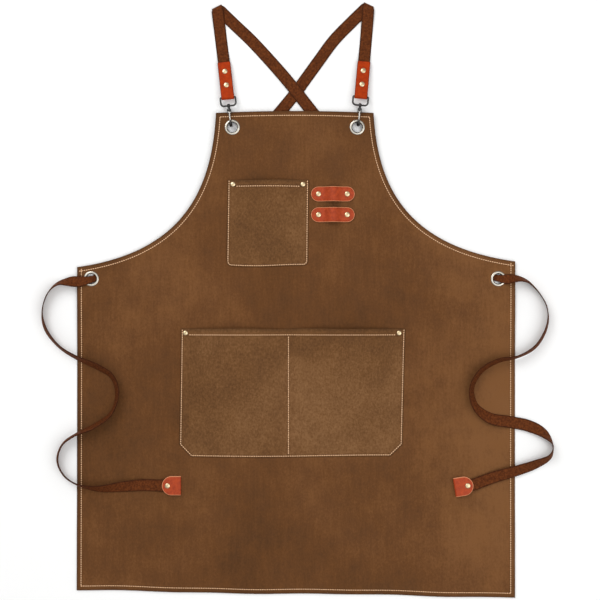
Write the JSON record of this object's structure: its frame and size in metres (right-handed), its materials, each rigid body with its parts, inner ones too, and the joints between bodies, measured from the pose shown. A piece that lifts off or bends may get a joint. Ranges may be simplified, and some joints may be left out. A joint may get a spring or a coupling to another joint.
{
  "type": "work apron",
  "caption": "Cross-back waxed canvas work apron laid flat, with chest and waist pockets, leather loops, metal eyelets and straps held by swivel snap hooks.",
  "frame": {"origin": "middle of the cloth panel's outline, on the floor the apron lies on", "axes": "+X to the right as the front is looked at, +Y from the skirt up to the bib, +Z out of the cloth's front"},
  "size_m": [0.8144, 0.9405, 0.0215],
  "materials": {
    "canvas": "waxed, matt, mottled",
    "pocket_canvas": "waxed, softly brushed",
    "thread": "twisted",
    "webbing": "woven",
    "leather": "semi-gloss",
    "rivet": "pale, polished",
    "eyelet": "polished nickel",
    "gunmetal": "dark plated",
    "gate": "polished",
    "spring": "bright"
  },
  "bodies": {
    "apron": {"apron_panel": "canvas", "hem_thread": "thread", "chest_pocket": "pocket_canvas", "chest_pocket_seam_thread": "thread", "chest_pocket_hem_thread": "thread", "chest_pocket_rivet_left": "rivet", "chest_pocket_rivet_right": "rivet", "lower_pocket": "pocket_canvas", "lower_pocket_seam_thread": "thread", "lower_pocket_hem_thread": "thread", "lower_pocket_rivet_left": "rivet", "lower_pocket_rivet_right": "rivet", "lower_pocket_divider_thread": "thread", "upper_loop": "leather", "lower_loop": "leather", "upper_loop_rivet_left": "rivet", "upper_loop_rivet_right": "rivet", "lower_loop_rivet_left": "rivet", "lower_loop_rivet_right": "rivet", "bib_eyelet_left": "eyelet", "bib_eyelet_left_washer": "eyelet", "bib_eyelet_right": "eyelet", "bib_eyelet_right_washer": "eyelet", "waist_eyelet_left": "eyelet", "waist_eyelet_left_washer": "eyelet", "waist_eyelet_right": "eyelet", "waist_eyelet_right_washer": "eyelet", "strap_tab_left": "leather", "lower_tab_rivet_left": "rivet", "upper_tab_rivet_left": "rivet", "tie_end_tab_left": "leather", "tie_end_rivet_left": "rivet", "strap_left": "webbing", "strap_tab_right": "leather", "lower_tab_rivet_right": "rivet", "upper_tab_rivet_right": "rivet", "tie_end_tab_right": "leather", "tie_end_rivet_right": "rivet", "strap_right": "webbing"},
    "eye_left": {"snap_eye_left": "gunmetal"},
    "hook_left": {"snap_hook_left": "gunmetal", "gate_pin_left": "gate", "gate_spring_left": "spring"},
    "gate_left": {"snap_gate_left": "gate"},
    "eye_right": {"snap_eye_right": "gunmetal"},
    "hook_right": {"snap_hook_right": "gunmetal", "gate_pin_right": "gate", "gate_spring_right": "spring"},
    "gate_right": {"snap_gate_right": "gate"}
  },
  "joints": [
    {"name": "eye_tilt_left", "type": "hinge", "parent": "apron", "child": "eye_left", "pos_m": [-0.10616, 0.40531, 0.0085], "axis": [0.9936, 0.1132, 0], "range_deg": [-0.8, 1.2]},
    {"name": "swivel_left", "type": "hinge", "parent": "eye_left", "child": "hook_left", "pos_m": [-0.10462, 0.39179, 0.0085], "axis": [-0.1132, 0.9936, 0], "range_deg": [-20, 20]},
    {"name": "gate_left", "type": "hinge", "parent": "hook_left", "child": "gate_left", "pos_m": [-0.10333, 0.38047, 0.0153], "axis": [0.9936, 0.1132, 0], "range_deg": [0, 18], "stiffness_Nm_per_rad": 0.02, "springref_deg": -28.65},
    {"name": "eye_tilt_right", "type": "hinge", "parent": "apron", "child": "eye_right", "pos_m": [0.10471, 0.40641, 0.0085], "axis": [0.9957, -0.0924, 0], "range_deg": [-0.8, 1.2]},
    {"name": "swivel_right", "type": "hinge", "parent": "eye_right", "child": "hook_right", "pos_m": [0.10346, 0.39286, 0.0085], "axis": [0.0924, 0.9957, 0], "range_deg": [-20, 20]},
    {"name": "gate_right", "type": "hinge", "parent": "hook_right", "child": "gate_right", "pos_m": [0.1024, 0.38151, 0.0153], "axis": [0.9957, -0.0924, 0], "range_deg": [0, 18], "stiffness_Nm_per_rad": 0.02, "springref_deg": -28.65}
  ]
}
